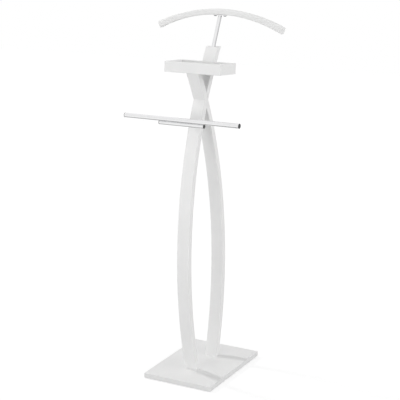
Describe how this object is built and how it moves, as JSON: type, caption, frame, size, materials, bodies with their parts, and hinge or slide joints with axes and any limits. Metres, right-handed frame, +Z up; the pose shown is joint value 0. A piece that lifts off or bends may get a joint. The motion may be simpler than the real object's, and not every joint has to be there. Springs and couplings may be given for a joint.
{
  "type": "clothes valet",
  "caption": "Free-standing clothes valet with crossed bowed board legs on a flat base, a small tray, a trouser bar with a short rail below it, and a jacket bow on a leaning rod.",
  "frame": {"origin": "middle of the valet's footprint, on the floor under the glides", "axes": "+Z up; X along the jacket bow, the trouser bar and the tray; -Y is the front, where the trouser bar is, and +Y the back, where the jacket bow is"},
  "size_m": [0.428, 0.322, 1.102],
  "materials": {
    "white_lacquer": "satin white lacquer on board",
    "chrome": "polished chrome plate on steel tube and rod",
    "steel": "zinc-plated steel",
    "black_steel": "blackened steel screws",
    "beech": "plain beech",
    "black_plastic": "moulded black plastic"
  },
  "bodies": {
    "root": {"base_plate": "white_lacquer", "front_leg": "white_lacquer", "back_leg": "white_lacquer", "tray_floor": "white_lacquer", "tray_front_wall": "white_lacquer", "tray_back_wall": "white_lacquer", "tray_left_wall": "white_lacquer", "tray_right_wall": "white_lacquer", "jacket_bow": "white_lacquer", "hanger_post": "chrome", "saddle_plate": "chrome", "trouser_bar": "chrome", "support_rail": "chrome", "rail_arm": "chrome", "foot_screws": "steel", "tray_leg_screws": "steel", "tray_neck_screws": "steel", "post_pin": "steel", "arm_bolt": "steel", "saddle_screws": "black_steel", "lap_dowel": "beech", "foot_dowels": "beech", "glide_front_left": "black_plastic", "glide_front_right": "black_plastic", "glide_back_left": "black_plastic", "glide_back_right": "black_plastic", "bar_cap_left": "black_plastic", "bar_cap_right": "black_plastic", "rail_cap_left": "black_plastic", "rail_cap_right": "black_plastic"}
  },
  "joints": []
}
